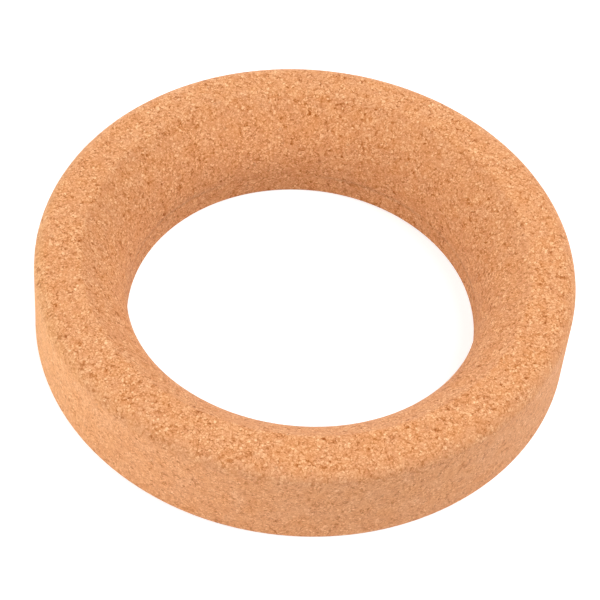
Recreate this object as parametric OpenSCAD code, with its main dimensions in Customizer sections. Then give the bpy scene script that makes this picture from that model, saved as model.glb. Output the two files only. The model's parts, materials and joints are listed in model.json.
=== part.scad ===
// Cork ring that holds a round-bottomed flask upright on a bench.
// One piece of pressed cork granules, turned to a ring with a rounded seat.
// Millimetres, +Z up. The origin is the centre of the ring's underside.

/* [Ring] */
// Outside diameter of the ring
outer_d = 140; // [130:0.5:200]
// Height of the ring, from its underside to its flat top
ring_h = 26; // [21:0.5:60]
// Diameter of the straight hole through the ring
bore_d = 92; // [74:0.5:106]

/* [Seat] */
// Diameter at which the seat's slope leaves the flat top
mouth_d = 116; // [104:0.5:128]
// Depth under the flat top at which the seat's slope meets the line of the hole
seat_drop = 9.2; // [5:0.1:15]
// Radius of the belly that carries the slope over into the hole
belly_r = 18.5; // [4:0.5:24]

/* [Edges] */
// Radius of the crest between the flat top and the seat
crest_r = 1.5; // [1:0.5:10]
// Radius of the outer top edge
rim_r = 4; // [0.5:0.5:8]
// Radius of the worn edges round the underside, outside and in the hole
base_r = 0.8; // [0.2:0.1:3]

/* [Hidden] */

CORK = "#E19F6F";
// Facets of every round shape
facets = 180;
// How far a rounding cutter reaches past the corner that it takes off
cutter_reach = 1;
// A rounding's circle crosses the two faces by this much, and never only grazes them
crossing = 0.002;

outer_r = outer_d / 2;
bore_r = bore_d / 2;
mouth_r = mouth_d / 2;

// The seat's slope, before its two ends are rounded
slope_run = mouth_r - bore_r;
slope_angle = atan2(seat_drop, slope_run);
slope_length = norm([slope_run, seat_drop]);
slope_foot_h = ring_h - seat_drop;

// A rounding takes this much of each of the two faces beside its corner,
// for each millimetre of its radius
crest_share = tan(slope_angle / 2);
belly_share = tan((90 - slope_angle) / 2);

// The belly grows until the slope or the hole's wall has nothing left for it
belly_room = min(slope_length - crest_r * crest_share, slope_foot_h - base_r);
belly_fit_r = min(belly_r, belly_room / belly_share);

// Corners of half the section, anticlockwise, and the radius of each
CORNERS = [
    [bore_r, 0],
    [outer_r, 0],
    [outer_r, ring_h],
    [mouth_r, ring_h],
    [bore_r, slope_foot_h]
];
ROUNDINGS = [base_r, base_r, rim_r, crest_r, belly_fit_r];

function direction(from, to) = (to - from) / norm(to - from);

// What a rounding of the given radius takes off an outward corner
module rounding_cutter(before, corner, after, radius) {
    to_before = direction(corner, before);
    to_after = direction(corner, after);
    inward = direction([0, 0], to_before + to_after);
    half_angle = acos(inward * to_before);
    tangent_length = radius / tan(half_angle);
    centre = corner + inward * radius / sin(half_angle);
    difference() {
        polygon([
            corner - inward * cutter_reach,
            corner + to_before * tangent_length,
            centre,
            corner + to_after * tangent_length
        ]);
        translate(centre) circle(r = radius + crossing, $fn = facets);
    }
}

// Half the section, from the hole's wall to the outside
module section() {
    count = len(CORNERS);
    difference() {
        polygon(CORNERS);
        for (i = [0 : count - 1])
            rounding_cutter(
                CORNERS[(i + count - 1) % count], CORNERS[i], CORNERS[(i + 1) % count],
                ROUNDINGS[i]
            );
    }
}

module cork_ring() {
    color(CORK) rotate_extrude($fn = facets) section();
}

cork_ring();
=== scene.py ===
import json
import math

import bmesh
import bpy
from bpy.props import FloatProperty, FloatVectorProperty, IntProperty, PointerProperty
from mathutils import Matrix, Vector, noise


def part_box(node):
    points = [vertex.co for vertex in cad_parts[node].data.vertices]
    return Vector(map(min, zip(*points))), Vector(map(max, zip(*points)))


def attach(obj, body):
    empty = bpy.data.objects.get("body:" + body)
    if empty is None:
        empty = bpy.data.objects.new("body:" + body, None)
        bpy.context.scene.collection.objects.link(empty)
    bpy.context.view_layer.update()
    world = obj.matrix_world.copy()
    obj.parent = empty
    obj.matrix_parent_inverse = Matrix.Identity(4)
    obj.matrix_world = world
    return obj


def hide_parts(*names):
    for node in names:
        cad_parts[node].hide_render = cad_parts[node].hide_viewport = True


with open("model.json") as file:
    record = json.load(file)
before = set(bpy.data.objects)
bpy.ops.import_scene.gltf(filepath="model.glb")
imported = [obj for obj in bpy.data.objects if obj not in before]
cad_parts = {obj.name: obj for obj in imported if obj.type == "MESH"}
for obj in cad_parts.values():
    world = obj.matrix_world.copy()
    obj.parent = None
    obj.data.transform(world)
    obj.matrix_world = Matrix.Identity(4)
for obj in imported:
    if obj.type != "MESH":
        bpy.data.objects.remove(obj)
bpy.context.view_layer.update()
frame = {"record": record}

bl_info = {
    "name": "Cork Ring",
    "version": (1, 0, 0),
    "blender": (4, 5, 0),
    "location": "3D View > Sidebar > Cork Ring",
    "description": "Builds a pressed cork ring for round-bottomed flasks and the studio round it",
    "category": "Add Mesh",
}

MM = 0.001
RING_NODE = "cork_ring"
RING_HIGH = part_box(RING_NODE)[1]
HOLE = next(m for m in frame["record"]["mounts"] if m["name"] == "hole")

# Vertices that lie closer than this are one
WELD = 0.001 * MM
# How near its wall's radius a vertex belongs to the outside wall or to the wall of the hole
SKIN = 1.0 * MM
# The faces of a rounding are no longer than its radius over this
ARC_FINENESS = 3

# Distance of every softbox from the ring, and its width, in metres
SOFTBOX_DISTANCE, SOFTBOX_WIDTH = 1.1, 0.6
# Name, turn from +X, height above the bench as an angle, and power in watts
SOFTBOXES = (
    ("softbox_back", math.radians(90), math.radians(12), 5.0),
    ("softbox_back_left", math.radians(150), math.radians(12), 3.8),
    ("softbox_left", math.radians(210), math.radians(32), 5.8),
    ("softbox_front", math.radians(240), math.radians(12), 3.1),
    ("softbox_right", math.radians(0), math.radians(32), 4.5),
    ("softbox_high", math.radians(0), math.radians(58), 5.9),
)
# Brightness of the white room as a light
ROOM_LIGHT = 0.2
# Glow of the bench's card for the eye alone, and half the bench's width, in metres
CARD_GLOW, BENCH_REACH = 0.65, 1.2
# Width of the camera's frame in pixels, and where in it the middle of the underside lies
FRAME_PX, CENTRE_PX = 600.0, (300.7, 318.8)
# Width of the camera's sensor, in millimetres, and the nearest thing that the camera sees
SENSOR_WIDTH, CLIP_START = 36.0, 10 * MM

# Gloss of the cork, and how soft its sheen is
CORK_ROUGHNESS, CORK_IOR, CORK_GLOSS, FUZZ_ROUGHNESS = 0.85, 1.45, 0.25, 0.5
# The hue that leaves a colour as it is, and the power that keeps the painted light to one side
PLAIN_HUE, PAINTED_LIGHT_FOCUS = 0.5, 4
# Where the drift of the colour's richness starts and ends in the noise, and how far it goes
PATCH_RANGE, RICHNESS_RANGE = (0.3, 0.7), (0.98, 1.02)
# Mean of a number that is drawn from 0 to 1
MEAN_DRAW = 0.5
# Tone of the cork, in steps of 1/255: from bark over brown and the ground to the palest crumb
TONE_LOW, TONE_BROWN, TONE_GROUND, TONE_HIGH = -80, -30, 0, 60
# How far each pattern swings the tone, in the same steps, and the pattern's own mean
SWINGS = {"crumb": 105, "crumb_edge": -50, "mottle": 56, "speck": 66, "bark": -56, "gap": -50}
MEANS = {"crumb": 0.0, "crumb_edge": 0.5, "mottle": 0.5, "speck": 0.0, "bark": 0.01, "gap": 0.01}
# Sizes of the patterns, in millimetres
MOTTLE_WIDTH, PATCH_WIDTH, SWAY_WIDTH = 0.26, 4.0, 0.9
SPECK_CORE, SPECK_EDGE = 0.08, 0.22
BARK_CORE, BARK_EDGE = 0.26, 0.52
GAP_WIDTH, GAP_LENGTH = 0.45, 1.6
PIT_SPACING, PIT_NARROWEST, PIT_WIDEST = 2.6, 0.26, 0.68
# Lengths of the surface's waves, and of the stretches in which the line round the hole shows
SWELL_LENGTH, GRAIN_LENGTH, MARK_LENGTH = 9.0, 1.1, 22.0
# Picks the stretches, and the noise at which the line is hidden and at which it is clear
MARK_SEED = Vector((0, 0, 205))
MARK_HIDDEN, MARK_CLEAR = -0.3, 0.2
# Moves the specks off the crumbs, and spreads the pits over the numbers that belong to them
SPECK_SHIFT, PIT_SCATTER = (40.0, 40.0, 40.0), 37.0
# Draws up to which a speck is a pore and from which it is a pale fleck, and the shades of both
SPECK_KINDS, SPECK_SHADES = (0.35, 0.65), (-1.0, 0.9)
# Noise at which a joint between chips is closed, and at which its gap is widest
GAP_CLOSED, GAP_OPEN = 0.65, 0.74
# Draws from which a chip starts to be smooth and is all smooth, and how much its crumbs then show
SMOOTH_START, SMOOTH_FULL, SMOOTH_SHOW = 0.5, 0.8, 0.65
# Share of the chips that hold bark, and of the places that hold a pit
BARK_SHARE, PIT_SHARE = 0.1, 0.75
# Share of the relief that comes from the long waves, how much less the rim and the wall are
# broken open, and the share of the relief that the underside has
SWELL_SHARE, WALL_CLOSING, BASE_SHARE = 0.5, 0.5, 0.3
# Where the ground wall's shade sets in and is full, from the foot of the rim's rounding
WALL_START, WALL_FULL = -1.6 * MM, 1.0 * MM
# Half the width over which the seat's darker colour sets in at the mouth
SEAT_FADE = 0.6 * MM


def linear(hex_colour):
    """An sRGB colour written as RRGGBB, as the linear values that Blender's sockets take."""
    channels = [int(hex_colour[i:i + 2], 16) / 255 for i in (0, 2, 4)]
    return tuple(c / 12.92 if c <= 0.04045 else ((c + 0.055) / 1.055) ** 2.4 for c in channels)


class RingShape(bpy.types.PropertyGroup):
    """Sizes of the ring's section and of its mesh."""

    outer_radius: FloatProperty(
        name="Outer radius", description="From the ring's axis to its outside wall",
        default=RING_HIGH.x, unit="LENGTH")
    height: FloatProperty(
        name="Height", description="From the underside to the flat top",
        default=RING_HIGH.z, unit="LENGTH")
    hole_radius: FloatProperty(
        name="Hole radius", description="From the ring's axis to the straight wall of the hole",
        default=HOLE["dims"]["r_mm"] * MM, unit="LENGTH")
    mouth_radius: FloatProperty(
        name="Mouth radius", description="Where the seat's slope leaves the flat top",
        default=58 * MM, unit="LENGTH")
    seat_drop: FloatProperty(
        name="Seat drop", description="Depth at which the slope meets the line of the hole",
        default=9.2 * MM, unit="LENGTH")
    belly_radius: FloatProperty(
        name="Belly radius", description="Rounding between the slope and the hole",
        default=18.5 * MM, unit="LENGTH")
    crest_radius: FloatProperty(
        name="Crest radius", description="Rounding between the flat top and the slope",
        default=1.5 * MM, unit="LENGTH")
    rim_radius: FloatProperty(
        name="Rim radius", description="Rounding of the outer top edge",
        default=4 * MM, unit="LENGTH")
    base_radius: FloatProperty(
        name="Base radius", description="Worn edges round the underside",
        default=0.8 * MM, unit="LENGTH")
    mark_height: FloatProperty(
        name="Mark height", description="Mean height of the line that a cutter left round the hole",
        default=6.5 * MM, unit="LENGTH")
    mark_rise: FloatProperty(
        name="Mark rise", description="How far the line round the hole rises and falls",
        default=0.7 * MM, unit="LENGTH")
    mark_turn: FloatProperty(
        name="Mark turn", description="Where round the hole the line lies lowest",
        default=math.radians(30), subtype="ANGLE")
    sectors: IntProperty(
        name="Sectors", description="Equal sectors that the ring is spun in, then welded",
        default=8, min=2, max=16)
    sector_steps: IntProperty(
        name="Steps in a sector", description="Faces round one sector of the ring",
        default=92, min=8, max=110)
    top_grid: FloatProperty(
        name="Top grid", description="Length of a face along the section on the top and seat",
        default=0.5 * MM, unit="LENGTH")
    wall_grid: FloatProperty(
        name="Wall grid", description="Length of a face up the outside wall",
        default=0.75 * MM, unit="LENGTH")
    base_grid: FloatProperty(
        name="Base grid", description="Length of a face across the underside",
        default=3.2 * MM, unit="LENGTH")


class CorkFinish(bpy.types.PropertyGroup):
    """Colours, grain sizes and relief of the pressed cork."""

    ground: FloatVectorProperty(
        name="Ground", description="Colour of most crumbs",
        default=linear("DB9663"), size=3, subtype="COLOR")
    brown: FloatVectorProperty(
        name="Brown", description="Colour of the browner crumbs and of the gaps",
        default=linear("C27B45"), size=3, subtype="COLOR")
    cream: FloatVectorProperty(
        name="Cream", description="Colour of the palest crumbs",
        default=linear("FFCD9B"), size=3, subtype="COLOR")
    bark: FloatVectorProperty(
        name="Bark", description="Colour of the specks of bark",
        default=linear("974D16"), size=3, subtype="COLOR")
    crumb_width: FloatProperty(
        name="Crumb width", description="Mean width of a crumb",
        default=0.47 * MM, unit="LENGTH")
    chip_width: FloatProperty(
        name="Chip width", description="Mean width of a chip, which is many crumbs of one shade",
        default=2.2 * MM, unit="LENGTH")
    chip_swing: FloatProperty(
        name="Chip swing", description="Range of shade from chip to chip, in steps of 1/255",
        default=6.0)
    bend: FloatProperty(
        name="Bend", description="How far crumbs are squeezed out of shape",
        default=0.9 * MM, unit="LENGTH")
    crumb_relief: FloatProperty(
        name="Crumb relief", description="How far the surface falls from a crumb to its edges",
        default=0.03 * MM, unit="LENGTH")
    speck_spacing: FloatProperty(
        name="Speck spacing", description="Mean distance between pores and pale flecks",
        default=0.9 * MM, unit="LENGTH")
    wall_smoothness: FloatProperty(
        name="Wall smoothness", description="How much less the crumbs show on the ground wall",
        default=0.28, subtype="FACTOR")
    seat_smoothness: FloatProperty(
        name="Seat smoothness", description="How much less the crumbs show on the rubbed seat",
        default=0.08, subtype="FACTOR")
    wall_paleness: FloatProperty(
        name="Wall paleness", description="How much paler the ground wall is than the flat top",
        default=0.12, subtype="FACTOR")
    # Partly a duller ground wall and partly painted sheen: the rim and the wall lose richness of
    # colour
    wall_dullness_and_painted_sheen: FloatProperty(
        name="Wall fading", description="How much less rich in colour the rim and the wall are",
        default=0.024, subtype="FACTOR")
    fuzz: FloatProperty(
        name="Fuzz", description="Sheen of the torn fibres",
        default=0.1, subtype="FACTOR")
    fuzz_tint: FloatVectorProperty(
        name="Fuzz tint", description="Colour of the sheen",
        default=linear("FFF7E7"), size=3, subtype="COLOR")
    # Painted light: the wall's colour turns towards yellow on the side that the left softboxes
    # light
    wall_painted_light: FloatProperty(
        name="Wall bleach", description="How far the wall's bleached side is turned towards yellow",
        default=0.006, subtype="FACTOR")
    painted_light_turn: FloatProperty(
        name="Bleach turn", description="Where round the ring the wall is bleached most",
        default=math.radians(190), subtype="ANGLE")
    # Makes the seat darker than the flat top
    seat_darkness: FloatProperty(
        name="Seat darkness", description="How much darker the rubbed seat is than the flat top",
        default=0.04, subtype="FACTOR")
    # Painted shade: the bottoms of the pits are darkened
    pit_painted_shade: FloatProperty(
        name="Pit darkness", description="How much darker the bottom of a pit is",
        default=0.22, subtype="FACTOR")
    relief_depth: FloatProperty(
        name="Relief depth", description="How far the surface dips between grains",
        default=0.12 * MM, unit="LENGTH")
    pit_depth: FloatProperty(
        name="Pit depth", description="Depth of the places where a grain has torn out",
        default=0.3 * MM, unit="LENGTH")
    mark_depth: FloatProperty(
        name="Mark depth", description="Depth of the line round the hole",
        default=0.25 * MM, unit="LENGTH")
    mark_width: FloatProperty(
        name="Mark width", description="From the middle of the line round the hole to its edge",
        default=0.9 * MM, unit="LENGTH")
    # Painted shade: the line round the hole is darkened along its groove
    mark_painted_shade: FloatProperty(
        name="Mark darkness", description="How much darker the line round the hole is",
        default=0.17, subtype="FACTOR")


class Studio(bpy.types.PropertyGroup):
    """Camera and bench."""

    camera_distance: FloatProperty(
        name="Camera distance", description="From the lens to the middle of the underside",
        default=637 * MM, unit="LENGTH")
    camera_elevation: FloatProperty(
        name="Camera elevation", description="Height of the view above the bench, as an angle",
        default=math.radians(49.92), subtype="ANGLE")
    camera_roll: FloatProperty(
        name="Camera roll", description="Turn of the camera about its own line of sight",
        default=math.radians(5.7), subtype="ANGLE")
    focal_length: FloatProperty(
        name="Focal length", description="In millimetres, on a sensor 36 mm wide",
        default=144.0)
    card: FloatVectorProperty(
        name="Card", description="Colour of the bench's card",
        default=linear("D1D1D1"), size=3, subtype="COLOR")


def add_node(tree, kind, inputs=None, **settings):
    """Adds a node with its settings; each input is a value or the socket linked into it."""
    node = tree.nodes.new(kind)
    for name, value in settings.items():
        setattr(node, name, value)
    for name, value in (inputs or {}).items():
        if isinstance(value, bpy.types.NodeSocket):
            tree.links.new(value, node.inputs[name])
        else:
            node.inputs[name].default_value = value
    return node


def rays_to_eye(tree):
    """1 for the rays that show a surface to the eye, also in a mirror or through glass."""
    path = add_node(tree, "ShaderNodeLightPath").outputs
    bounced = add_node(tree, "ShaderNodeMath",
                       {0: path["Is Glossy Ray"], 1: path["Is Transmission Ray"]},
                       operation="MAXIMUM")
    return add_node(tree, "ShaderNodeMath", {0: path["Is Camera Ray"], 1: bounced.outputs[0]},
                    operation="MAXIMUM").outputs[0]


def wave(place, length):
    """Smooth noise from 0 to 1 with waves of the given length."""
    return 0.5 + 0.5 * noise.noise(place / length)


def ease(value, start, end):
    """Rises smoothly from 0 at the start to 1 at the end."""
    share = min(1.0, max(0.0, (value - start) / (end - start)))
    return share * share * (3 - 2 * share)


def run_to(bm, tip, target, grid):
    """Draws the section on in a straight line from its last vertex, one grid length at a time."""
    steps = max(1, round((target - tip.co).length / grid))
    step = (target - tip.co) / steps
    for _ in range(steps):
        start = tip.co.copy()
        tip = bmesh.ops.extrude_vert_indiv(bm, verts=[tip])["verts"][0]
        tip.co = start + step
    return tip


def turn_about(bm, tip, centre, turn, grid):
    """Draws the section on in an arc about a centre, anticlockwise by the given angle."""
    steps = max(2, round((tip.co - centre).length * turn / grid))
    made = bmesh.ops.spin(
        bm, geom=[tip], cent=centre, axis=(0, -1, 0), angle=turn, steps=steps)
    return next(v for v in made["geom_last"] if isinstance(v, bmesh.types.BMVert))


def draw_section(bm, shape):
    """Draws half the ring's section as a closed loop of edges, anticlockwise in the XZ plane."""
    foot = shape.height - shape.seat_drop
    # Each corner, its rounding, and the grid of the stretch that leads to it
    corners = [
        (Vector((shape.outer_radius, 0, 0)), shape.base_radius, shape.base_grid),
        (Vector((shape.outer_radius, 0, shape.height)), shape.rim_radius, shape.wall_grid),
        (Vector((shape.mouth_radius, 0, shape.height)), shape.crest_radius, shape.top_grid),
        (Vector((shape.hole_radius, 0, foot)), shape.belly_radius, shape.top_grid),
        (Vector((shape.hole_radius, 0, 0)), shape.base_radius, shape.top_grid),
    ]
    tip = None
    for i, (corner, radius, grid) in enumerate(corners):
        back = (corners[i - 1][0] - corner).normalized()
        onward = (corners[(i + 1) % len(corners)][0] - corner).normalized()
        half = back.angle(onward) / 2
        start = corner + back * radius / math.tan(half)
        centre = corner + (back + onward).normalized() * radius / math.sin(half)
        tip = run_to(bm, tip, start, grid) if tip else bm.verts.new(start)
        tip = turn_about(bm, tip, centre, math.pi - 2 * half,
                         min(radius / ARC_FINENESS, shape.top_grid))
    bm.verts.ensure_lookup_table()
    run_to(bm, tip, bm.verts[0].co, shape.base_grid)
    bmesh.ops.remove_doubles(bm, verts=bm.verts, dist=WELD)


def turn_ring(bm, shape):
    """Spins the section into a sector, copies it all the way round and welds the joins."""
    section = bm.verts[:] + bm.edges[:]
    bmesh.ops.spin(
        bm, geom=section, cent=(0, 0, 0), axis=(0, 0, 1),
        angle=math.tau / shape.sectors, steps=shape.sector_steps)
    sector = bm.verts[:] + bm.edges[:] + bm.faces[:]
    bmesh.ops.spin(
        bm, geom=sector, cent=(0, 0, 0), axis=(0, 0, 1),
        angle=math.tau, steps=shape.sectors, use_duplicate=True)
    bmesh.ops.remove_doubles(bm, verts=bm.verts, dist=WELD)


def pit_at(place):
    """How deep into a pit a point lies, from 0 on the open surface to 1 at a pit's bottom."""
    distances, points = noise.voronoi(place / PIT_SPACING)
    # A number from 0 to 1 that belongs to the pit
    chance = noise.cell(points[0] * PIT_SCATTER)
    if chance < 1 - PIT_SHARE:
        return 0.0
    radius = PIT_NARROWEST + (PIT_WIDEST - PIT_NARROWEST) * chance
    share = max(0.0, 1 - (distances[0] * PIT_SPACING / radius) ** 2)
    return share * share


def roughen(bm, shape, finish):
    """Sinks the surface between grains and into pits, and stores for each part of it how clearly
    the crumbs show, and how pale, how rich and of what hue its colour is. The paleness holds
    painted shade in the pits and in the line round the hole, the richness partly a painted sheen
    on the rim and the wall, and the hue a painted light on the wall's side towards the left lamps."""
    contrast = bm.verts.layers.float.new("contrast")
    paleness = bm.verts.layers.float.new("paleness")
    richness = bm.verts.layers.float.new("richness")
    hue = bm.verts.layers.float.new("hue")
    for vertex in bm.verts:
        place = vertex.co / MM
        radius = math.hypot(vertex.co.x, vertex.co.y)
        rim = ease(radius, shape.outer_radius - shape.rim_radius, shape.outer_radius)
        below_rim = shape.height - vertex.co.z - shape.rim_radius
        outside = radius > shape.outer_radius - SKIN
        wall = ease(below_rim, WALL_START, WALL_FULL) if outside else 0.0
        seat = ease(shape.mouth_radius - radius, -SEAT_FADE, SEAT_FADE)
        pit = pit_at(place)
        turn = math.atan2(vertex.co.y, vertex.co.x)
        mark = 0.0
        if radius < shape.hole_radius + SKIN:
            mark_height = shape.mark_height - shape.mark_rise * math.cos(turn - shape.mark_turn)
            mark = max(0.0, 1 - abs(vertex.co.z - mark_height) / finish.mark_width)
            # The line comes and goes round the hole
            stretch = noise.noise((place + MARK_SEED) / MARK_LENGTH)
            mark *= ease(stretch, MARK_HIDDEN, MARK_CLEAR)
        openness = 1 - WALL_CLOSING * rim
        swell = SWELL_SHARE * wave(place, SWELL_LENGTH)
        grain = (1 - SWELL_SHARE) * wave(place, GRAIN_LENGTH)
        depth = finish.relief_depth * (swell + grain * openness)
        depth += finish.pit_depth * pit * openness + finish.mark_depth * mark
        if vertex.co.z < shape.base_radius:
            depth *= BASE_SHARE
        vertex[contrast] = 1 - finish.wall_smoothness * rim - finish.seat_smoothness * seat
        # Paler ground wall and darker seat, with painted shade in the pits and the line round the
        # hole
        vertex[paleness] = (
            1 + finish.wall_paleness * wall - finish.seat_darkness * seat
            - finish.pit_painted_shade * pit - finish.mark_painted_shade * mark)
        # Partly a duller wall, partly painted sheen: the rim and the wall lose some richness
        vertex[richness] = 1 - finish.wall_dullness_and_painted_sheen * rim
        # Painted light: the wall's side towards the left softboxes is turned towards yellow
        facing = max(0.0, math.cos(turn - finish.painted_light_turn)) ** PAINTED_LIGHT_FOCUS
        vertex[hue] = PLAIN_HUE + finish.wall_painted_light * rim * facing
        vertex.co -= vertex.normal * depth


def cork_tone(tree, finish, bent, crumbs):
    """Shade of the cork as steps of 1/255 above or below the ground colour."""
    chip_width = finish.chip_width / MM
    chips = add_node(tree, "ShaderNodeTexVoronoi", {"Vector": bent, "Scale": 1 / chip_width})
    # The colour of a chip, a crumb or a speck holds three numbers of its own, drawn from 0 to 1
    chip = add_node(tree, "ShaderNodeSeparateColor", {0: chips.outputs["Color"]})
    crumb = add_node(tree, "ShaderNodeSeparateColor", {0: crumbs.outputs["Color"]})
    # Most crumbs are near the ground in shade, and a few are far from it
    centred = add_node(tree, "ShaderNodeMath", {0: crumb.outputs["Red"], 1: MEAN_DRAW},
                       operation="SUBTRACT")
    own = add_node(tree, "ShaderNodeMath", {0: centred.outputs[0], 1: crumb.outputs["Green"]},
                   operation="MULTIPLY")
    mottle = add_node(tree, "ShaderNodeTexNoise",
                      {"Vector": bent, "Scale": 1 / MOTTLE_WIDTH, "Detail": 0.0})
    # Pores and pale flecks
    spacing = finish.speck_spacing / MM
    away = add_node(tree, "ShaderNodeVectorMath", {0: bent, 1: SPECK_SHIFT})
    seeds = add_node(tree, "ShaderNodeTexVoronoi",
                     {"Vector": away.outputs[0], "Scale": 1 / spacing})
    spot = add_node(tree, "ShaderNodeMapRange",
                    {"Value": seeds.outputs["Distance"], "From Min": SPECK_CORE / spacing,
                     "From Max": SPECK_EDGE / spacing, "To Min": 1.0, "To Max": 0.0})
    kind = add_node(tree, "ShaderNodeSeparateColor", {0: seeds.outputs["Color"]})
    pale = add_node(tree, "ShaderNodeMapRange",
                    {"Value": kind.outputs["Red"],
                     "From Min": SPECK_KINDS[0], "From Max": SPECK_KINDS[1],
                     "To Min": SPECK_SHADES[0], "To Max": SPECK_SHADES[1]})
    speck = add_node(tree, "ShaderNodeMath", {0: spot.outputs[0], 1: pale.outputs[0]},
                     operation="MULTIPLY")
    # Bark at the heart of a few chips
    heart = add_node(tree, "ShaderNodeMapRange",
                     {"Value": chips.outputs["Distance"], "From Min": BARK_CORE / chip_width,
                      "From Max": BARK_EDGE / chip_width, "To Min": 1.0, "To Max": 0.0})
    few = add_node(tree, "ShaderNodeMath", {0: chip.outputs["Blue"], 1: 1 - BARK_SHARE},
                   operation="GREATER_THAN")
    bark = add_node(tree, "ShaderNodeMath", {0: heart.outputs[0], 1: few.outputs[0]},
                    operation="MULTIPLY")
    # Dark gaps along parts of the joints between chips
    edges = add_node(tree, "ShaderNodeTexVoronoi", {"Vector": bent, "Scale": 1 / chip_width},
                     feature="DISTANCE_TO_EDGE")
    ragged = add_node(tree, "ShaderNodeTexNoise",
                      {"Vector": bent, "Scale": 1 / GAP_LENGTH, "Detail": 0.0})
    opening = add_node(tree, "ShaderNodeMapRange",
                       {"Value": ragged.outputs[0], "From Min": GAP_CLOSED, "From Max": GAP_OPEN,
                        "To Min": 0.0, "To Max": GAP_WIDTH / chip_width})
    gap = add_node(tree, "ShaderNodeMapRange",
                   {"Value": edges.outputs["Distance"], "From Min": 0.0,
                    "From Max": opening.outputs[0], "To Min": 1.0, "To Max": 0.0})
    patterns = {
        "crumb": own.outputs[0], "crumb_edge": crumbs.outputs["Distance"],
        "mottle": mottle.outputs[0], "speck": speck.outputs[0],
        "bark": bark.outputs[0], "gap": gap.outputs[0],
    }
    # The tone is centred on the patterns' means
    fine = -sum(MEANS[name] * SWINGS[name] for name in patterns)
    for name, value in patterns.items():
        fine = add_node(tree, "ShaderNodeMath", {0: value, 1: SWINGS[name], 2: fine},
                        operation="MULTIPLY_ADD").outputs[0]
    # In some chips the crumbs show less, and so they do on the smooth parts of the ring
    clear = add_node(tree, "ShaderNodeMapRange",
                     {"Value": chip.outputs["Green"], "From Min": SMOOTH_START,
                      "From Max": SMOOTH_FULL, "To Min": 1.0, "To Max": SMOOTH_SHOW})
    contrast = add_node(tree, "ShaderNodeAttribute", attribute_name="contrast")
    show = add_node(tree, "ShaderNodeMath", {0: clear.outputs[0], 1: contrast.outputs["Fac"]},
                    operation="MULTIPLY")
    swing = finish.chip_swing
    level = add_node(tree, "ShaderNodeMath", {0: chip.outputs["Red"], 1: swing, 2: -swing / 2},
                     operation="MULTIPLY_ADD")
    return add_node(tree, "ShaderNodeMath", {0: fine, 1: show.outputs[0], 2: level.outputs[0]},
                    operation="MULTIPLY_ADD").outputs[0]


def cork_material(finish):
    """Pressed cork, cut and sanded: matt crumbs about half a millimetre wide in shades of tan,
    with dark gaps and torn pores between them, pale slivers and a few specks of bark."""
    material = bpy.data.materials.new("pressed_cork")
    material.use_nodes = True
    tree = material.node_tree
    tree.nodes.clear()

    place = add_node(tree, "ShaderNodeTexCoord").outputs["Object"]
    in_mm = add_node(tree, "ShaderNodeVectorMath", {0: place, 1: (1 / MM,) * 3},
                     operation="MULTIPLY").outputs[0]
    # Crumbs are squeezed out of shape, so the pattern is bent by a good part of a crumb
    sway = add_node(tree, "ShaderNodeTexNoise", {"Vector": in_mm, "Scale": 1 / SWAY_WIDTH})
    centred = add_node(tree, "ShaderNodeVectorMath",
                       {0: sway.outputs["Color"], 1: (MEAN_DRAW,) * 3}, operation="SUBTRACT")
    bent = add_node(tree, "ShaderNodeVectorMath",
                    {0: centred.outputs[0], 1: (finish.bend / MM,) * 3, 2: in_mm},
                    operation="MULTIPLY_ADD")
    crumbs = add_node(tree, "ShaderNodeTexVoronoi",
                      {"Vector": bent.outputs[0], "Scale": MM / finish.crumb_width})
    tone = cork_tone(tree, finish, bent.outputs[0], crumbs)
    scaled = add_node(tree, "ShaderNodeMapRange",
                      {"Value": tone, "From Min": TONE_LOW, "From Max": TONE_HIGH})
    ramp = add_node(tree, "ShaderNodeValToRGB", {"Fac": scaled.outputs[0]})
    stops = ramp.color_ramp.elements
    stops[0].color, stops[1].color = (*finish.bark, 1), (*finish.cream, 1)
    for shade, colour in ((TONE_BROWN, finish.brown), (TONE_GROUND, finish.ground)):
        stop = stops.new((shade - TONE_LOW) / (TONE_HIGH - TONE_LOW))
        stop.color = (*colour, 1)
    # The colour's richness drifts a little from patch to patch
    patches = add_node(tree, "ShaderNodeTexNoise", {"Vector": in_mm, "Scale": 1 / PATCH_WIDTH})
    drift = add_node(tree, "ShaderNodeMapRange",
                     {"Value": patches.outputs[0],
                      "From Min": PATCH_RANGE[0], "From Max": PATCH_RANGE[1],
                      "To Min": RICHNESS_RANGE[0], "To Max": RICHNESS_RANGE[1]})
    # The stored richness is partly a duller wall and partly painted sheen on the rim and the wall
    richness = add_node(tree, "ShaderNodeAttribute", attribute_name="richness")
    rich = add_node(tree, "ShaderNodeMath", {0: drift.outputs[0], 1: richness.outputs["Fac"]},
                    operation="MULTIPLY")
    # Stored paleness holds painted shade in pits and the line round the hole; hue, painted light
    paleness = add_node(tree, "ShaderNodeAttribute", attribute_name="paleness")
    hue = add_node(tree, "ShaderNodeAttribute", attribute_name="hue")
    tinted = add_node(tree, "ShaderNodeHueSaturation",
                      {"Color": ramp.outputs[0], "Hue": hue.outputs["Fac"],
                       "Saturation": rich.outputs[0], "Value": paleness.outputs["Fac"]})
    bump = add_node(tree, "ShaderNodeBump",
                    {"Height": crumbs.outputs["Distance"], "Distance": finish.crumb_relief},
                    invert=True)
    surface = add_node(tree, "ShaderNodeBsdfPrincipled",
                       {"Base Color": tinted.outputs[0], "Normal": bump.outputs[0],
                        "Roughness": CORK_ROUGHNESS, "IOR": CORK_IOR,
                        "Specular IOR Level": CORK_GLOSS,
                        "Sheen Weight": finish.fuzz, "Sheen Roughness": FUZZ_ROUGHNESS,
                        "Sheen Tint": (*finish.fuzz_tint, 1)})
    add_node(tree, "ShaderNodeOutputMaterial", {"Surface": surface.outputs[0]})
    return material


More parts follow.
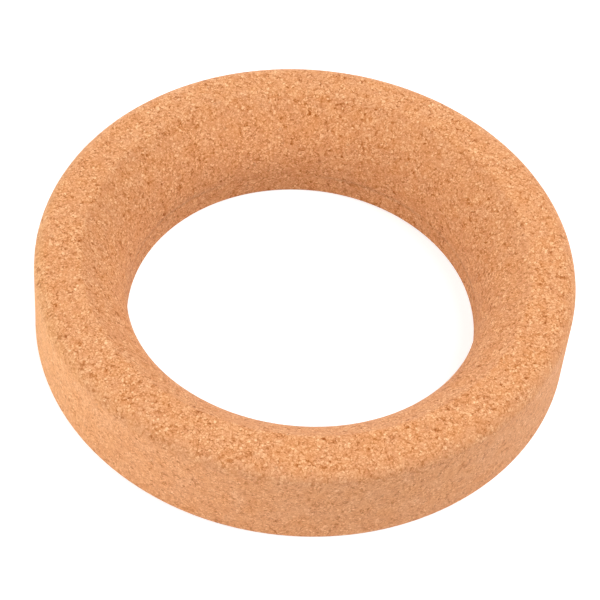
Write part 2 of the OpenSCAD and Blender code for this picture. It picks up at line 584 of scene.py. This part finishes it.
class CORK_OT_ring(bpy.types.Operator):
    """Build the cork ring with its rounded seat"""

    bl_idname = "cork.ring"
    bl_label = "Cork Ring"

    def execute(self, context):
        shape = context.scene.ring_shape
        finish = context.scene.cork_finish
        bm = bmesh.new()
        draw_section(bm, shape)
        turn_ring(bm, shape)
        bmesh.ops.recalc_face_normals(bm, faces=bm.faces)
        bm.normal_update()
        roughen(bm, shape, finish)
        for face in bm.faces:
            face.smooth = True
        mesh = bpy.data.meshes.new("cork_ring_body")
        bm.to_mesh(mesh)
        bm.free()
        ring = bpy.data.objects.new("cork_ring_body", mesh)
        context.scene.collection.objects.link(ring)
        mesh.materials.append(cork_material(finish))
        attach(ring, "root")
        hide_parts(RING_NODE)
        return {"FINISHED"}


class CORK_OT_stage(bpy.types.Operator):
    """Set up the bench, the lamps and the camera"""

    bl_idname = "cork.stage"
    bl_label = "Bench and Lamps"

    def execute(self, context):
        studio = context.scene.cork_studio
        self.add_floor(context, studio)
        self.add_lamps(context)
        self.add_camera(context, studio)
        context.scene.view_settings.view_transform = "Standard"
        return {"FINISHED"}

    def add_floor(self, context, studio):
        """Lays the bench, a sheet of card."""
        bm = bmesh.new()
        bmesh.ops.create_grid(bm, x_segments=2, y_segments=2, size=BENCH_REACH)
        mesh = bpy.data.meshes.new("bench")
        bm.to_mesh(mesh)
        bm.free()
        bench = bpy.data.objects.new("bench", mesh)
        context.scene.collection.objects.link(bench)
        material = bpy.data.materials.new("matt_white_card")
        material.use_nodes = True
        tree = material.node_tree
        tree.nodes.clear()
        # Matt white card: pale enough to go white round the ring, and it keeps the ring's shadow
        card = add_node(tree, "ShaderNodeBsdfDiffuse", {"Color": (*studio.card, 1)})
        glow = add_node(tree, "ShaderNodeEmission", {"Strength": CARD_GLOW})
        both = add_node(tree, "ShaderNodeAddShader", {0: card.outputs[0], 1: glow.outputs[0]})
        seen = add_node(tree, "ShaderNodeMixShader",
                        {0: rays_to_eye(tree), 1: card.outputs[0], 2: both.outputs[0]})
        add_node(tree, "ShaderNodeOutputMaterial", {"Surface": seen.outputs[0]})
        mesh.materials.append(material)

    def add_lamps(self, context):
        """Hangs the softboxes round the ring, each turned to face it, in a dim white room."""
        middle = Vector((0, 0, RING_HIGH.z / 2))
        for name, turn, rise, power in SOFTBOXES:
            lamp = bpy.data.lights.new(name, "AREA")
            lamp.size = SOFTBOX_WIDTH
            lamp.energy = power
            softbox = bpy.data.objects.new(name, lamp)
            away = Vector((
                math.cos(turn) * math.cos(rise), math.sin(turn) * math.cos(rise), math.sin(rise)))
            softbox.location = middle + away * SOFTBOX_DISTANCE
            softbox.rotation_euler = (-away).to_track_quat("-Z", "Y").to_euler()
            context.scene.collection.objects.link(softbox)
        world = bpy.data.worlds.new("soft_room")
        world.use_nodes = True
        tree = world.node_tree
        tree.nodes.clear()
        # White to the eye, and dim as a light
        strength = add_node(tree, "ShaderNodeMapRange",
                            {"Value": rays_to_eye(tree), "To Min": ROOM_LIGHT, "To Max": 1.0})
        room = add_node(tree, "ShaderNodeBackground",
                        {"Color": (*linear("FFFFFF"), 1), "Strength": strength.outputs[0]})
        add_node(tree, "ShaderNodeOutputWorld", {"Surface": room.outputs[0]})
        context.scene.world = world

    def add_camera(self, context, studio):
        """Turns the camera down to the ring, rolls it, and sets it back to frame the ring."""
        camera = bpy.data.cameras.new("camera")
        camera.sensor_width = SENSOR_WIDTH
        camera.lens = studio.focal_length
        camera.clip_start = CLIP_START
        camera_object = bpy.data.objects.new("camera", camera)
        focal_px = studio.focal_length / SENSOR_WIDTH * FRAME_PX
        tilt = Matrix.Rotation(math.pi / 2 - studio.camera_elevation, 3, "X")
        turn = tilt @ Matrix.Rotation(studio.camera_roll, 3, "Z")
        ray = Vector((
            (CENTRE_PX[0] - FRAME_PX / 2) / focal_px,
            (FRAME_PX / 2 - CENTRE_PX[1]) / focal_px, -1.0))
        place = -(turn @ (ray.normalized() * studio.camera_distance))
        camera_object.matrix_world = Matrix.Translation(place) @ turn.to_4x4()
        context.scene.collection.objects.link(camera_object)
        context.scene.camera = camera_object


class CORK_PT_panel(bpy.types.Panel):
    """Lists the ring's sizes, its finish and the studio"""

    bl_idname = "CORK_PT_panel"
    bl_label = "Cork Ring"
    bl_space_type = "VIEW_3D"
    bl_region_type = "UI"
    bl_category = "Cork Ring"

    def draw(self, context):
        for group in GROUPS:
            box = self.layout.box()
            settings = getattr(context.scene, group)
            for name in settings.bl_rna.properties.keys():
                if name not in ("rna_type", "name"):
                    box.prop(settings, name)
        self.layout.operator(CORK_OT_ring.bl_idname)
        self.layout.operator(CORK_OT_stage.bl_idname)


GROUPS = {"ring_shape": RingShape, "cork_finish": CorkFinish, "cork_studio": Studio}
CLASSES = (*GROUPS.values(), CORK_OT_ring, CORK_OT_stage, CORK_PT_panel)


def register():
    for cls in CLASSES:
        bpy.utils.register_class(cls)
    for name, group in GROUPS.items():
        setattr(bpy.types.Scene, name, PointerProperty(type=group))


def unregister():
    for name in GROUPS:
        delattr(bpy.types.Scene, name)
    for cls in reversed(CLASSES):
        bpy.utils.unregister_class(cls)


def main():
    register()
    bpy.ops.cork.stage()
    bpy.ops.cork.ring()


if __name__ == "__main__":
    main()
